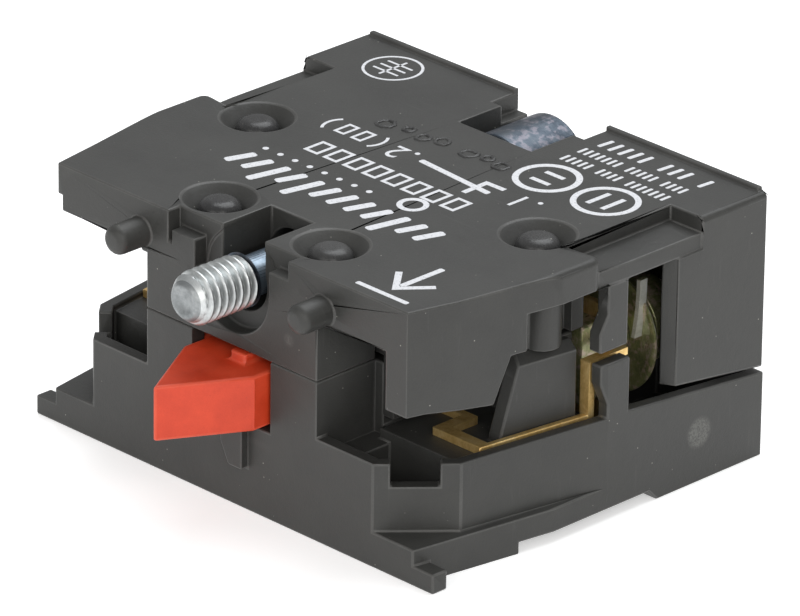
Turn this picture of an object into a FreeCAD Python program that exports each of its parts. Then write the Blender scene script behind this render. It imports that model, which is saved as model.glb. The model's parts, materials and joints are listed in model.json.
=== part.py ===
import FreeCAD, Part
import os
import re

import Sketcher

# Normally closed contact block of a 22 mm push button, as a parametric assembly.
#
# The block is two moulded shells, a spring-returned plunger that lifts a double-break contact
# bridge off its two fixed contacts, two screw terminals and a captive fixing screw. A block that
# is stacked behind it screws into the head of that screw.
#
# Lengths are millimetres. X is the width and Z the height. The sketches measure Y from the front
# seating face towards the back; every placement then moves its piece forward, so that the
# finished model has its origin at the middle of the underside.

# The driving dimensions. "Forward" is -Y, "back" is +Y, and a *_y value is a distance behind
# the front seating face.
DIMENSIONS = {
    # shells, common
    "depth": 33.0,
    "half_width": 20.2,
    "wall": 1.0,
    "gap": 0.05,
    "parting_z": 12.2,
    "boss_half": 8.6,
    "boss_y": 5.7,
    # base shell
    "flange_top": 2.7,
    "floor_top": 2.0,
    "flange_front_half": 18.2,
    "flange_full_y": 12.0,
    "foot_step": 0.85,
    "foot_front_y": 9.0,
    "foot_rear_y": 21.4,
    "lug_x": 2.0,
    "lug_y": 1.4,
    "lug_z": 1.5,
    "corner_x": 14.2,
    "shoulder_x": 18.3,
    "shoulder_y": 4.5,
    "side_full_y": 17.0,
    "wall_top": 7.9,
    "notch_depth": 1.77,
    "post_y": 17.05,
    "post_back_y": 19.15,
    "post_head_y": 16.4,
    "post_neck_z": 9.0,
    "post_head_z": 10.6,
    "post_top": 12.1,
    "rear_wall_top": 6.5,
    "deck_z": 7.45,
    "deck_y": 5.1,
    "deck_back_y": 17.0,
    "deck_inner": 9.7,
    "guide_half": 4.9,
    "guide_floor": 6.7,
    "window_half": 3.95,
    "front_wall": 1.2,
    "nose_rest_x": 0.35,
    "nose_rest_wide": 1.4,
    "nose_rest_z": 3.3,
    "nose_rest_reach": 0.6,
    "chamber_y": 9.0,
    "chamber_back_y": 17.0,
    "chamber_half": 9.4,
    "trough_half": 2.3,
    "trough_floor": 2.2,
    "trough_y": 8.0,
    "trough_back_y": 24.0,
    "pillar_inner": 11.8,
    "pillar_outer": 16.3,
    "pillar_y": 13.4,
    "pillar_back_y": 17.4,
    "pillar_top": 13.3,
    "barrier_top": 13.7,
    "barrier_y": 9.3,
    "barrier_back_y": 15.8,
    "barrier_lean": 1.65,
    "barrier_wide": 1.2,
    "barrier_gap": 0.2,
    "barrier_bevel": 0.65,
    # stakes that hold the shells together
    "stake": 1.6,
    "stake_top": 20.3,
    "stake_dome": 0.9,
    "front_stake_x": 5.6,
    "front_stake_y": 4.2,
    "side_stake_x": 14.1,
    "side_stake_y": 16.0,
    "dish": 1.1,
    # cover shell
    "cover_top": 20.4,
    "band_z": 18.0,
    "ridge": 0.3,
    "ridge_wide": 0.5,
    "ear_front_x": 17.4,
    "ear_left_front_x": 17.85,
    "ear_mid_x": 18.5,
    "ear_mid_y": 4.0,
    "ear_full_x": 20.05,
    "ear_full_y": 12.5,
    "ear_back_y": 16.1,
    "ear_corner_y": 16.5,
    "ear_z": 16.8,
    "ear_left_x": 6.4,
    "ear_right_x": 5.6,
    "bay_y": 1.15,
    "bay_block_x": 3.7,
    "bay_block_y": 1.4,
    "bay_block_z": 19.0,
    "waist_x": 16.9,
    "waist_back_y": 26.4,
    "ledge_z": 19.25,
    "ledge_x": 20.0,
    "rear_x": 20.05,
    "notch_half": 3.6,
    "notch_y": 26.0,
    "notch_wide": 4.6,
    "notch_wide_y": 30.3,
    "slot_half": 2.1,
    "slot_y": 5.9,
    "skirt_z": 12.4,
    "skirt_thick": 2.1,
    "skirt_y": 6.9,
    "skirt_low_z": 11.8,
    "skirt_flat_y": 1.5,
    "skirt_step_y": 8.3,
    "skirt_step_z": 15.2,
    "skirt_back_y": 9.6,
    "recess_x": 17.2,
    "recess_z": 13.75,
    "rib": 1.35,
    "rib_y": 13.4,
    "groove_y": 15.2,
    "recess_web_y": 16.3,
    "recess_web_back_y": 17.5,
    "hang_y": 17.1,
    "hang_back_y": 19.05,
    "hang_wide_y": 16.35,
    "hang_neck_z": 15.8,
    "hang_wide_z": 14.5,
    "hang_z": 13.0,
    "rear_side_y": 23.4,
    "rear_bevel_y": 24.1,
    "rear_bottom_z": 6.85,
    "rear_bottom_rise": 1.5,
    "tower": 2.4,
    "tower_z": 13.8,
    "beam_half": 4.8,
    "head_block_half": 5.6,
    "tunnel_half": 4.95,
    "partition_z": 8.1,
    "cross_wall_y": 6.2,
    "port": 2.6,
    "peg": 1.1,
    "peg_z": 17.9,
    "peg_x": 9.2,
    "peg_reach": 2.8,
    "corner_round": 0.8,
    "shoulder_round": 0.5,
    # fixing screw
    "screw_z": 16.88,
    "thread": 2.0,
    "thread_reach": 4.6,
    "thread_back_y": 1.0,
    "thread_tip": 0.5,
    "shank": 1.5,
    "counterbore": 3.65,
    "counterbore_y": 1.2,
    "bore": 2.3,
    "web": 1.7,
    "web_y": 8.0,
    "web_back_y": 10.0,
    "head": 3.5,
    "head_y": 26.2,
    "head_back_y": 31.9,
    "head_pocket": 3.75,
    "tapped": 1.65,
    "tapped_deep": 4.5,
    "driver_slot": 1.0,
    "driver_deep": 1.2,
    # plunger
    "plunger_half": 3.6,
    "plunger_z": 7.1,
    "plunger_top": 11.3,
    "plunger_reach": 7.5,
    "plunger_shoulder": 1.15,
    "plunger_back_y": 24.5,
    "stop_half": 4.6,
    "stop_y": 3.0,
    "frame_y": 10.2,
    "frame_back_y": 18.5,
    "frame_z": 7.8,
    "frame_top": 10.6,
    "foot_half": 2.0,
    "foot_z": 2.6,
    "foot_y": 8.5,
    "foot_back_y": 10.0,
    "key_x": 0.2,
    "key_wide": 1.5,
    "key_reach": 0.3,
    "key_top": 12.0,
    # springs
    "spring_z": 4.5,
    "spring_mean": 1.65,
    "spring_wire": 0.45,
    "spring_turns": 11,
    "bias_mean": 0.95,
    "bias_wire": 0.3,
    "bias_turns": 7,
    # contacts
    "strip": 0.6,
    "tab_inner": 5.6,
    "tab_outer": 8.6,
    "tab_y": 10.0,
    "tab_top": 10.7,
    "tip_x": 7.0,
    "tip_z": 9.2,
    "tip": 1.1,
    "tip_thick": 0.6,
    "bridge_half": 8.6,
    "bridge_z": 8.1,
    "bridge_top": 10.3,
    "inner_leg_x": 12.9,
    "leg_wide": 1.0,
    "side_leg_wide": 0.5,
    "front_leg_y": 7.05,
    "left_front_leg_y": 8.2,
    "upright_y": 16.9,
    "upright_wide": 0.9,
    "upright_top": 12.1,
    # terminals
    "terminal_x": 14.0,
    "terminal_z": 10.7,
    "terminal_screw": 1.75,
    "terminal_tip_y": 17.6,
    "terminal_plate_y": 19.6,
    "terminal_plate_inner": 10.8,
    "terminal_plate_outer": 17.2,
    "terminal_plate_z": 5.8,
    "terminal_plate_top": 14.8,
    "nut_half": 3.0,
    "nut_thick": 2.0,
    "clamp": 4.6,
    "clamp_y": 23.4,
    "clamp_thick": 0.8,
    "washer": 3.1,
    "washer_thick": 0.9,
    "terminal_head": 3.2,
    "terminal_head_thick": 2.5,
}

DOC = FreeCAD.newDocument("ContactBlock")
SHEET = DOC.addObject("Spreadsheet::Sheet", "Dims")
for row, (alias, size) in enumerate(DIMENSIONS.items(), start=1):
    SHEET.set(f"A{row}", alias)
    SHEET.set(f"B{row}", str(size))
    SHEET.setAlias(f"B{row}", alias)
DOC.recompute()

SIDES = {"right": "", "left": "-"}


def value(expression):
    """The number that an expression over the sheet's aliases gives."""
    return float(SHEET.evalExpression(str(expression)))


def bound(expression):
    """The same expression, with each alias addressed through the sheet."""
    return re.sub(r"[a-z][a-z_]+", r"Dims.\g<0>", str(expression))


def negated(expression):
    return f"-({expression})"


def flipped(points):
    """A loop of points mirrored to the other side of the middle plane."""
    return [(negated(across), along) for across, along in reversed(points)]


def rectangle(low_u, high_u, low_v, high_v):
    return [(low_u, low_v), (high_u, low_v), (high_u, high_v), (low_u, high_v)]


def new_piece(name):
    """An empty body, placed so that the origin falls under the middle of the block."""
    body = DOC.addObject("PartDesign::Body", name)
    body.Label = name
    body.setExpression(".Placement.Base.y", bound("-(depth - plunger_reach) / 2"))
    return body


def pin_to_origin(sketch, geometry, place, across, along):
    """Tie a point of the sketch to the origin with two driven distances."""
    for kind, distance in (("DistanceX", across), ("DistanceY", along)):
        index = sketch.addConstraint(
            Sketcher.Constraint(kind, -1, 1, geometry, place, value(distance)))
        sketch.setExpression(f"Constraints[{index}]", bound(distance))


def draw_loop(sketch, points):
    first = sketch.GeometryCount
    corners = [FreeCAD.Vector(value(across), value(along), 0) for across, along in points]
    count = len(corners)
    for index in range(count):
        line = Part.LineSegment(corners[index], corners[(index + 1) % count])
        sketch.addGeometry(line, False)
    for index in range(count):
        following = first + (index + 1) % count
        sketch.addConstraint(Sketcher.Constraint("Coincident", first + index, 2, following, 1))
    for index, (across, along) in enumerate(points):
        pin_to_origin(sketch, first + index, 1, across, along)


def draw_circle(sketch, across, along, radius):
    centre = FreeCAD.Vector(value(across), value(along), 0)
    circle = Part.Circle(centre, FreeCAD.Vector(0, 0, 1), value(radius))
    geometry = sketch.addGeometry(circle, False)
    pin_to_origin(sketch, geometry, 3, across, along)
    index = sketch.addConstraint(Sketcher.Constraint("Radius", geometry, value(radius)))
    sketch.setExpression(f"Constraints[{index}]", bound(radius))


def new_sketch(body, label, plane, level, loops=(), circles=()):
    """A sketch on one of the body's own origin planes, moved to a level along its normal."""
    sketch = body.newObject("Sketcher::SketchObject", f"{body.Label}_{label}_sketch")
    role = f"{plane}_Plane"
    origin_plane = next(item for item in body.Origin.OriginFeatures if item.Role == role)
    sketch.AttachmentSupport = [(origin_plane, "")]
    sketch.MapMode = "FlatFace"
    offset = negated(level) if plane == "XZ" else level
    sketch.setExpression("AttachmentOffset.Base.z", bound(offset))
    for points in loops:
        draw_loop(sketch, points)
    for circle in circles:
        draw_circle(sketch, *circle)
    return sketch


def extrude(body, kind, label, plane, low, high, loops, circles):
    """Pad or pocket a sketch from low to high along the axis across its plane."""
    volume = 0 if body.Tip is None else body.Shape.Volume
    level = high if plane == "XZ" else low
    sketch = new_sketch(body, label, plane, level, loops, circles)
    feature = body.newObject(f"PartDesign::{kind}", f"{body.Label}_{label}")
    feature.Profile = sketch
    feature.setExpression("Length", bound(f"({high}) - ({low})"))
    feature.Reversed = kind == "Pocket"
    DOC.recompute()
    change = body.Shape.Volume - volume
    if kind == "Pocket" and change > -1e-6 or kind == "Pad" and change < 1e-6:
        raise RuntimeError(f"{feature.Name} changes nothing")
    return feature


def add(body, label, plane, low, high, *loops, circles=()):
    return extrude(body, "Pad", label, plane, low, high, loops, circles)


def cut(body, label, plane, low, high, *loops, circles=()):
    return extrude(body, "Pocket", label, plane, low, high, loops, circles)


def on_both_sides(work, body, label, plane, low, high, *loops, circles=()):
    """Add or cut the same shape on the right and, mirrored, on the left."""
    if plane == "YZ":
        work(body, f"{label}_right", plane, low, high, *loops, circles=circles)
        work(body, f"{label}_left", plane, negated(high), negated(low), *loops, circles=circles)
        return
    mirrored = [flipped(points) for points in loops]
    other = [(negated(across), along, radius) for across, along, radius in circles]
    work(body, label, plane, low, high, *loops, *mirrored, circles=[*circles, *other])


def edges_of(body, wanted):
    """Names of the edges of the body's tip that a test picks out."""
    edges = body.Tip.Shape.Edges
    return [f"Edge{index}" for index, edge in enumerate(edges, start=1) if wanted(edge)]


def dress(body, kind, label, size, wanted):
    """Fillet or chamfer the edges that a test picks out."""
    base = body.Tip
    names = edges_of(body, wanted)
    if not names:
        raise RuntimeError(f"{body.Label} has no edge for {label}")
    feature = body.newObject(f"PartDesign::{kind}", f"{body.Label}_{label}")
    feature.Base = (base, names)
    feature.setExpression("Radius" if kind == "Fillet" else "Size", bound(size))
    DOC.recompute()
    return feature


def straight_at(direction, *places):
    """A test for straight edges along one axis that lie at one of the given points."""
    others = [axis for axis in "XYZ" if axis != direction]
    spots = [(value(first), value(second)) for first, second in places]

    def wanted(edge):
        box = edge.BoundBox
        if any(getattr(box, f"{axis}Length") > 1e-6 for axis in others):
            return False
        u, v = [getattr(box, f"{axis}Min") for axis in others]
        return any(abs(u - first) < 0.02 and abs(v - second) < 0.02 for first, second in spots)

    return wanted


def circle_at(radius, level, axis):
    """A test for full circles of one radius that lie at one level along an axis."""
    size = value(radius)
    position = value(level)

    def wanted(edge):
        curve = edge.Curve
        if not isinstance(curve, Part.Circle) or abs(curve.Radius - size) > 1e-6:
            return False
        return abs(getattr(curve.Center, axis) - position) < 1e-6

    return wanted


def build_base():
    """Lower shell: flange, side walls, terminal decks, plunger guide and stakes."""
    base = new_piece("base_housing")
    flange = [("-half_width", "depth"), ("-half_width", "flange_full_y"),
              ("-flange_front_half", 0), ("flange_front_half", 0),
              ("half_width", "flange_full_y"), ("half_width", "depth")]
    add(base, "flange", "XY", 0, "flange_top", flange)
    walls = [("-half_width", "depth"), ("-half_width", "side_full_y"),
             ("-shoulder_x", "shoulder_y"), ("-corner_x", 0), ("corner_x", 0),
             ("shoulder_x", "shoulder_y"), ("half_width", "side_full_y"),
             ("half_width", "depth")]
    add(base, "walls", "XY", "flange_top", "post_top", walls)
    front_of_post = [("-wall", "wall_top"), ("post_y", "wall_top"), ("post_y", "post_neck_z"),
                     ("post_head_y", "post_head_z"), ("post_head_y", "post_top + 1"),
                     ("-wall", "post_top + 1")]
    behind_post = [("post_back_y", "post_top + 1"), ("post_back_y", "wall_top"),
                   ("depth", "rear_wall_top"), ("depth + 1", "rear_wall_top"),
                   ("depth + 1", "post_top + 1")]
    cut(base, "side_profile", "YZ", "-half_width - 1", "half_width + 1",
        front_of_post, behind_post)
    inside = [("corner_x - 0.44 * wall", "wall"),
              ("shoulder_x - 0.94 * wall", "shoulder_y + 0.45 * wall"),
              ("half_width - wall", "side_full_y"), ("half_width - wall", "depth - wall")]
    cut(base, "inside", "XY", "floor_top", "post_top + 1", inside + flipped(inside))

    # raised underside between the front foot and the sloping rear foot
    relief = [("foot_front_y", -1), ("foot_rear_y + 1", -1), ("foot_rear_y + foot_step", 0),
              ("foot_rear_y", "foot_step"), ("foot_front_y", "foot_step")]
    cut(base, "foot_relief", "YZ", "-half_width - 1", "half_width + 1", relief)
    lug = rectangle("flange_front_half - 1", "flange_front_half + lug_x", 0, "lug_y")
    on_both_sides(add, base, "hook_lugs", "XY", 0, "lug_z", lug)
    notch = [("corner_x + 1.8", "-0.1"), ("shoulder_x + 0.1", "shoulder_y - 2"),
             ("shoulder_x - 2.3", "shoulder_y + 0.2"), ("corner_x - 0.5", "2.2")]
    on_both_sides(cut, base, "corner_notches", "XY", "wall_top - notch_depth", "wall_top + 1",
                  notch)

    # blocks on the floor: decks under the contacts, guide block of the plunger
    deck = [("deck_inner", "deck_y"), ("shoulder_x - 0.7 * wall", "deck_y"),
            ("half_width - 0.5 * wall", "deck_back_y"), ("deck_inner", "deck_back_y")]
    on_both_sides(add, base, "decks", "XY", "floor_top", "deck_z", deck)
    core = rectangle("-deck_inner - wall", "deck_inner + wall", "0.5 * wall",
                     "depth - 0.5 * wall")
    add(base, "guide_block", "XY", "floor_top", "guide_floor", core)
    boss = [("window_half", 0), ("boss_half", 0), ("boss_half", "boss_y"),
            ("chamber_half", "boss_y"), ("chamber_half", "chamber_y"),
            ("guide_half", "chamber_y"), ("guide_half", "front_wall"),
            ("window_half", "front_wall")]
    on_both_sides(add, base, "guide_walls", "XY", "floor_top", "parting_z", boss)
    nose_rest = [("nose_rest_x", "nose_rest_z"), ("nose_rest_x + nose_rest_wide", "nose_rest_z"),
                 ("nose_rest_x + nose_rest_wide", "guide_floor"),
                 ("nose_rest_x - 1", "guide_floor"), ("nose_rest_x - 0.8", "nose_rest_z + 1.6")]
    add(base, "nose_rest", "XZ", "-nose_rest_reach", "0.5 * front_wall", nose_rest)
    cut(base, "plunger_window", "XZ", "-1", "front_wall",
        rectangle("-window_half", "window_half", "guide_floor", "parting_z"))
    chamber_wall = rectangle("chamber_half", "chamber_half + wall", "boss_y",
                             "chamber_back_y - gap")
    on_both_sides(add, base, "chamber_walls", "XY", "floor_top", "deck_z - gap", chamber_wall)
    cut(base, "spring_trough", "XY", "trough_floor", "guide_floor + 1",
        rectangle("-trough_half", "trough_half", "trough_y", "trough_back_y"))

    # pillars under the side stakes, bored for the tips of the terminal screws
    pillar = rectangle("pillar_inner", "pillar_outer", "pillar_y", "pillar_back_y")
    on_both_sides(add, base, "pillars", "XY", "deck_z", "pillar_top", pillar)
    on_both_sides(cut, base, "pillar_bores", "XZ", "pillar_y + 0.8", "pillar_back_y + 1",
                  circles=[("terminal_x", "terminal_z", "terminal_screw + 0.25")])
    # barriers that keep the outer legs of the contacts away from the pillars
    lean = "(side_full_y - shoulder_y)"
    slope = f"(half_width - shoulder_x) / {lean}"
    face = f"shoulder_x - wall - side_leg_wide - barrier_gap + {slope}"
    barrier = [(f"{face} * (barrier_y - shoulder_y)", "barrier_y"),
               (f"{face} * (barrier_back_y - shoulder_y)", "barrier_back_y"),
               (f"{face} * (barrier_back_y - shoulder_y) - barrier_wide", "barrier_back_y"),
               (f"{face} * (barrier_y - shoulder_y) - barrier_wide", "barrier_y")]
    on_both_sides(add, base, "barriers", "XY", "deck_z", "barrier_top", barrier)
    lean_cut = [("barrier_y - 1", "wall_top"), ("barrier_y", "wall_top"),
                ("barrier_y + barrier_lean", "barrier_top"),
                ("barrier_y + barrier_lean", "barrier_top + 1"),
                ("barrier_y - 1", "barrier_top + 1")]
    on_both_sides(cut, base, "barrier_leans", "YZ", "pillar_outer - 1.5", "half_width - wall",
                  lean_cut)
    rim_x = value(f"{face} * (barrier_back_y - shoulder_y)")
    rim_z = value("barrier_top")

    def outer_rim(edge):
        box = edge.BoundBox
        level = abs(box.ZMin - rim_z) < 1e-6 and box.ZLength < 1e-6
        return level and box.YLength > 1 and max(-box.XMin, box.XMax) > rim_x - 0.01

    dress(base, "Chamfer", "barrier_bevels", "barrier_bevel", outer_rim)

    # stakes, each with a domed head
    on_both_sides(add, base, "front_stakes", "XY", "parting_z", "stake_top",
                  circles=[("front_stake_x", "front_stake_y", "stake")])
    on_both_sides(add, base, "side_stakes", "XY", "pillar_top", "stake_top",
                  circles=[("side_stake_x", "side_stake_y", "stake")])
    dress(base, "Fillet", "stake_domes", "stake_dome", circle_at("stake", "stake_top", "z"))
    return base


def build_cover():
    """Upper shell: top plate, side skirts, screw tunnel, rear chambers and locating pegs."""
    cover = new_piece("cover_housing")
    half_plan = [("ear_front_x", 0), ("ear_mid_x", "ear_mid_y"), ("ear_full_x", "ear_full_y"),
                 ("ear_full_x", "ear_corner_y"), ("waist_x", "ear_back_y"),
                 ("waist_x", "waist_back_y"), ("rear_x", "waist_back_y"), ("rear_x", "depth"),
                 ("notch_wide", "depth"), ("notch_wide", "notch_wide_y"),
                 ("notch_half", "notch_wide_y"), ("notch_half", "notch_y")]
    left_plan = flipped(half_plan)
    left_plan[-1] = ("-ear_left_front_x", 0)
    plan = [("ear_right_x", "bay_y"), ("ear_right_x", 0), *half_plan, *left_plan,
            ("-ear_left_x", 0), ("-ear_left_x", "bay_y"), ("-slot_half", "bay_y"),
            ("-slot_half", "slot_y"), ("slot_half", "slot_y"), ("slot_half", "bay_y")]
    add(cover, "top_plate", "XY", "band_z", "cover_top", plan)
    dress(cover, "Fillet", "ear_corners", "corner_round",
          straight_at("Z", ("ear_full_x", "ear_corner_y"), ("-ear_full_x", "ear_corner_y")))

    # ledges beside the waist, and the screw beam with its head block
    ledge = [("waist_x - 1", "ear_back_y - 1"), ("ear_full_x - 0.3", "ear_back_y - 1"),
             ("ledge_x", "hang_back_y"), ("ledge_x", "waist_back_y + 1"),
             ("waist_x - 1", "waist_back_y + 1")]
    on_both_sides(add, cover, "ledges", "XY", "band_z", "ledge_z", ledge)
    add(cover, "boss", "XY", "parting_z", "band_z",
        rectangle("-boss_half", "boss_half", 0, "boss_y"))
    add(cover, "beam", "XY", "parting_z", "band_z + 1",
        rectangle("-beam_half", "beam_half", "bay_y", "notch_y"))
    add(cover, "head_block", "XY", "parting_z", "band_z + 1",
        rectangle("-head_block_half", "head_block_half", "notch_y - 1", "depth"))
    on_both_sides(add, cover, "bay_blocks", "XY", "band_z - 0.5", "bay_block_z",
                  rectangle("bay_block_x", "ear_right_x + 0.5", 0, "bay_block_y"))
    ear_face = [("boss_half - 1", "ear_z"), ("ear_front_x", "ear_z"), ("ear_front_x", "band_z"),
                ("boss_half - 1", "band_z")]
    on_both_sides(add, cover, "ear_faces", "XZ", 0, "1.2 * wall", ear_face)

    # walls that close the contact chamber and the terminal chambers
    on_both_sides(add, cover, "chamber_walls", "XY", "partition_z", "band_z",
                  rectangle("chamber_half", "chamber_half + wall", "boss_y",
                            "chamber_back_y + wall"))
    on_both_sides(add, cover, "chamber_backs", "XY", "guide_floor + gap", "band_z",
                  rectangle("window_half", "chamber_half + wall", "chamber_back_y",
                            "chamber_back_y + wall"))
    on_both_sides(add, cover, "tunnel_walls", "XY", "guide_floor + gap", "band_z",
                  rectangle("window_half", "tunnel_half", "chamber_back_y", "depth"))
    on_both_sides(add, cover, "cross_walls", "XY", "skirt_z", "band_z",
                  rectangle("boss_half - 1", "ear_front_x - skirt_thick + 0.5", "cross_wall_y",
                            "cross_wall_y + wall"))
    on_both_sides(add, cover, "stake_towers", "XY", "tower_z", "band_z",
                  circles=[("side_stake_x", "side_stake_y", "tower")])

    # outer skirt, on the right only, and the recessed walls and ribs behind it
    edge = "(ear_full_x - ear_mid_x) / (ear_full_y - ear_mid_y)"
    skirt = [("ear_front_x - skirt_thick", 0), ("ear_front_x", 0), ("ear_mid_x", "ear_mid_y"),
             (f"ear_mid_x + {edge} * (skirt_back_y - ear_mid_y)", "skirt_back_y"),
             (f"ear_mid_x + {edge} * (skirt_back_y - ear_mid_y) - skirt_thick", "skirt_back_y")]
    add(cover, "skirt", "XY", "skirt_low_z", "band_z", skirt)
    below_skirt = [(-1, "skirt_low_z - 1"), (-1, "skirt_z"), ("skirt_flat_y", "skirt_z"),
                   ("skirt_y", "skirt_low_z"), ("skirt_step_y", "skirt_step_z"),
                   ("skirt_back_y + 1", "skirt_step_z"), ("skirt_back_y + 1", "skirt_low_z - 1")]
    cut(cover, "skirt_edge", "YZ", "ear_front_x - skirt_thick - 1", "ear_full_x + 1",
        below_skirt)
    recess = rectangle("recess_x - wall", "recess_x", "skirt_y + 0.5", "groove_y")
    on_both_sides(add, cover, "recess_walls", "XY", "recess_z + gap", "band_z", recess)
    on_both_sides(add, cover, "recess_webs", "XY", "recess_z + gap", "band_z",
                  rectangle("recess_x - wall", "recess_x", "recess_web_y", "recess_web_back_y"))
    on_both_sides(add, cover, "recess_ribs", "XY", "recess_z + gap", "band_z",
                  circles=[("recess_x", "rib_y", "rib")])
    hang = [("hang_wide_y", "hang_z"), ("hang_back_y", "hang_z"), ("hang_back_y", "band_z"),
            ("hang_y", "band_z"), ("hang_y", "hang_neck_z"), ("hang_wide_y", "hang_wide_z")]
    on_both_sides(add, cover, "hanging_posts", "YZ", "ledge_x - wall - 0.1", "ledge_x", hang)

    # rear chamber: sides with a sloping lower edge, and the back wall
    side = [("rear_x - wall", "rear_side_y"), ("rear_x - 0.9 * wall", "rear_side_y"),
            ("rear_x", "rear_bevel_y"), ("rear_x", "depth"), ("rear_x - wall", "depth")]
    on_both_sides(add, cover, "rear_sides", "XY", "rear_bottom_z", "band_z", side)
    on_both_sides(add, cover, "back_walls", "XZ", "depth - wall", "depth",
                  rectangle("window_half", "rear_x", "rear_bottom_z", "band_z"))
    slope = [("rear_side_y - 1", "rear_bottom_z - 1"), ("depth", "rear_bottom_z - 1"),
             ("depth", "rear_bottom_z"), ("rear_side_y - 1", "rear_bottom_z + rear_bottom_rise")]
    on_both_sides(cut, cover, "rear_slopes", "YZ", "tunnel_half + 1", "rear_x + 1", slope)
    on_both_sides(cut, cover, "driver_ports", "XZ", "depth - wall - 0.1", "depth + 1",
                  circles=[("terminal_x", "terminal_z", "port")])

    # the path of the fixing screw, front to back
    cut(cover, "screw_counterbore", "XZ", "-1", "counterbore_y",
        circles=[(0, "screw_z", "counterbore")])
    cut(cover, "screw_bore", "XZ", "-1", "web_y", circles=[(0, "screw_z", "bore")])
    cut(cover, "screw_web", "XZ", "web_y - 1", "web_back_y + 1", circles=[(0, "screw_z", "web")])
    cut(cover, "screw_rear_bore", "XZ", "web_back_y", "notch_y + 1",
        circles=[(0, "screw_z", "bore")])
    cut(cover, "head_pocket", "XZ", "notch_y", "depth + 1",
        circles=[(0, "screw_z", "head_pocket")])
    cut(cover, "head_mouth", "XY", "screw_z", "cover_top + 1",
        rectangle("-notch_half", "notch_half", "notch_y", "depth + 1"))
    cut(cover, "bay", "XZ", "-1", "bay_y",
        rectangle("-bay_block_x", "bay_block_x", "screw_z", "cover_top + 1"))
    cut(cover, "screw_slot", "XY", "screw_z", "cover_top + 1",
        rectangle("-slot_half", "slot_half", "0", "slot_y"))

    # rounded rear shoulders, with the raised ridge along the back edge between them
    dress(cover, "Fillet", "rear_shoulders", "shoulder_round",
          straight_at("Y", ("rear_x", "cover_top"), ("-rear_x", "cover_top")))
    on_both_sides(add, cover, "ridge", "XY", "cover_top - shoulder_round", "cover_top + ridge",
                  rectangle("notch_wide", "rear_x - shoulder_round", "depth - ridge_wide",
                            "depth"))

    # locating pegs, and the stake holes with their dishes
    on_both_sides(add, cover, "pegs", "XZ", "-peg_reach", 0,
                  circles=[("peg_x", "peg_z", "peg")])
    dress(cover, "Fillet", "peg_domes", "0.6 * peg", circle_at("peg", "-peg_reach", "y"))
    on_both_sides(cut, cover, "front_stake_holes", "XY", "parting_z - 1", "cover_top + 1",
                  circles=[("front_stake_x", "front_stake_y", "stake + gap")])
    on_both_sides(cut, cover, "side_stake_holes", "XY", "parting_z - 1", "cover_top + 1",
                  circles=[("side_stake_x", "side_stake_y", "stake + gap")])
    dress(cover, "Chamfer", "stake_dishes", "dish", circle_at("stake + gap", "cover_top", "z"))
    return cover


def build_plunger():
    """Sliding plunger: pointed nose, stop ears, frame round the contact bridge, spring foot."""
    plunger = new_piece("plunger")
    shape = [(0, "-plunger_reach"), ("plunger_half", "-plunger_shoulder"),
             ("plunger_half", "front_wall + gap"), ("stop_half", "front_wall + gap"),
             ("stop_half", "stop_y"), ("plunger_half", "stop_y"),
             ("plunger_half", "plunger_back_y")]
    add(plunger, "slide", "XY", "plunger_z", "plunger_top", shape + flipped(shape)[:-1])
    cut(plunger, "frame", "YZ", "-plunger_half - 1", "plunger_half + 1",
        rectangle("frame_y", "frame_back_y", "frame_z", "frame_top"))
    add(plunger, "spring_foot", "XY", "foot_z", "plunger_z",
        rectangle("-foot_half", "foot_half", "foot_y", "foot_back_y"))
    add(plunger, "key", "XY", "plunger_top", "key_top",
        rectangle("key_x", "key_x + key_wide", "-key_reach", "foot_y"))
    return plunger


def build_spring(name, level, start, finish, mean, wire, turns):
    """Compression spring along Y, as a round wire swept round its axis."""
    spring = new_piece(name)
    first = f"{start} + 0.5 * {wire}"
    sketch = new_sketch(spring, "wire", "XY", level, circles=[(mean, first, f"0.5 * {wire}")])
    helix = spring.newObject("PartDesign::AdditiveHelix", f"{name}_coil")
    helix.Profile = sketch
    helix.ReferenceAxis = (sketch, ["V_Axis"])
    helix.Mode = "height-turns-angle"
    helix.setExpression("Height", bound(f"({finish}) - ({start}) - {wire}"))
    helix.setExpression("Turns", bound(turns))
    DOC.recompute()
    return spring


def build_bridge():
    bridge = new_piece("contact_bridge")
    front = "tab_y + strip + 2 * tip_thick"
    add(bridge, "bar", "XZ", front, f"{front} + strip",
        rectangle("-bridge_half", "bridge_half", "bridge_z", "bridge_top"))
    return bridge


def build_tip(name, sign, front, radius):
    """A round silver contact tip, flat against what carries it."""
    tip = new_piece(name)
    add(tip, "disc", "XZ", front, f"{front} + tip_thick",
        circles=[(f"{sign}tip_x", "tip_z", radius)])
    return tip


def side_loop(sign, points):
    return flipped(points) if sign else points


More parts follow.
